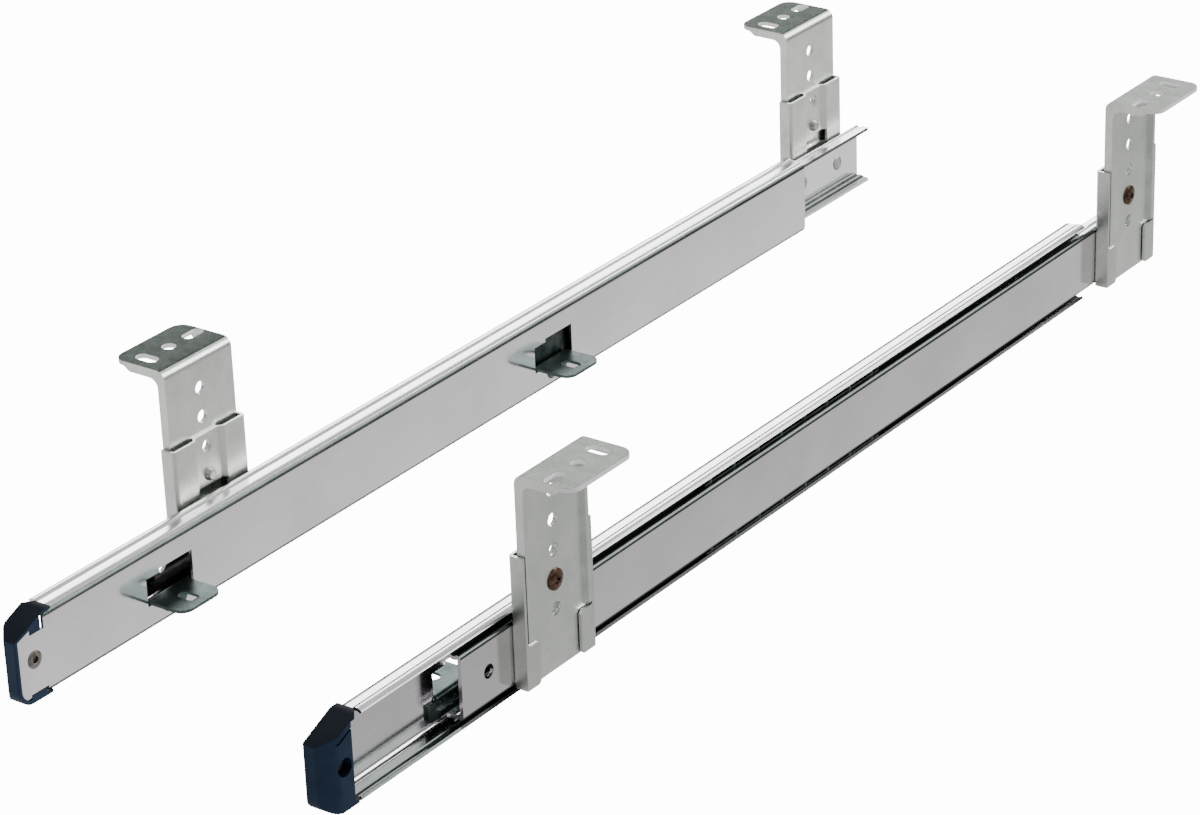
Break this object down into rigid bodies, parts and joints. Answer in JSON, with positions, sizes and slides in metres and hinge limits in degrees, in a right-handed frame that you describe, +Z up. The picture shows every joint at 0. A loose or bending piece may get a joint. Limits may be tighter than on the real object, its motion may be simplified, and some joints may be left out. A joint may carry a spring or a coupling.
{
  "type": "drawer slide",
  "caption": "Pair of ball bearing slides with height-adjustable brackets that hang a keyboard tray or pencil drawer under a desk.",
  "frame": {"origin": "in the plane of the desk's underside, in the middle of the four round screw holes of the hangers", "axes": "+X to the right, +Y to the back of the desk along the slides, +Z up; a drawer opens towards -Y"},
  "size_m": [0.1694, 0.4588, 0.0715],
  "materials": {
    "bracket_zinc": "zinc plated pressed steel, satin",
    "rail_zinc": "zinc plated rolled steel, satin",
    "yellow_zinc_screw": "yellow passivated zinc",
    "rivet_steel": "zinc plated, satin",
    "cap_rivet_bronze": "dull plated steel",
    "black_nylon": "moulded, fine texture",
    "dark_zinc": "dark green passivated zinc",
    "cage_steel": "zinc plated strip",
    "ball_steel": "polished hardened steel"
  },
  "bodies": {
    "cabinet_side": {"left_front_hanger": "bracket_zinc", "left_rear_hanger": "bracket_zinc", "right_front_hanger": "bracket_zinc", "right_rear_hanger": "bracket_zinc", "left_front_saddle": "bracket_zinc", "left_rear_saddle": "bracket_zinc", "right_front_saddle": "bracket_zinc", "right_rear_saddle": "bracket_zinc", "left_cabinet_member": "rail_zinc", "right_cabinet_member": "rail_zinc", "height_screws": "yellow_zinc_screw", "saddle_rivets": "rivet_steel"},
    "left_drawer_side": {"left_drawer_member": "rail_zinc", "left_end_cap": "black_nylon", "left_cap_rivet": "cap_rivet_bronze", "left_front_lug": "dark_zinc", "left_rear_lug": "dark_zinc", "left_lug_rivets": "rivet_steel"},
    "left_cage": {"left_ball_cage": "cage_steel", "left_upper_balls": "ball_steel", "left_lower_balls": "ball_steel"},
    "right_drawer_side": {"right_drawer_member": "rail_zinc", "right_end_cap": "black_nylon", "right_cap_rivet": "cap_rivet_bronze", "right_front_lug": "dark_zinc", "right_rear_lug": "dark_zinc", "right_lug_rivets": "rivet_steel"},
    "right_cage": {"right_ball_cage": "cage_steel", "right_upper_balls": "ball_steel", "right_lower_balls": "ball_steel"}
  },
  "joints": [
    {"name": "left_drawer_slide", "type": "slide", "parent": "cabinet_side", "child": "left_drawer_side", "axis": [0, -1, 0], "range_m": [-0.0475, 0.24]},
    {"name": "left_cage_roll", "type": "slide", "parent": "cabinet_side", "child": "left_cage", "axis": [0, -1, 0], "range_m": [-0.02375, 0.12]},
    {"name": "right_drawer_slide", "type": "slide", "parent": "cabinet_side", "child": "right_drawer_side", "axis": [0, -1, 0], "range_m": [-0.0475, 0.24]},
    {"name": "right_cage_roll", "type": "slide", "parent": "cabinet_side", "child": "right_cage", "axis": [0, -1, 0], "range_m": [-0.02375, 0.12]}
  ],
  "couplings": [
    {"joint": "left_cage_roll", "follows": "left_drawer_slide", "ratio": 0.5},
    {"joint": "right_cage_roll", "follows": "right_drawer_slide", "ratio": 0.5}
  ]
}
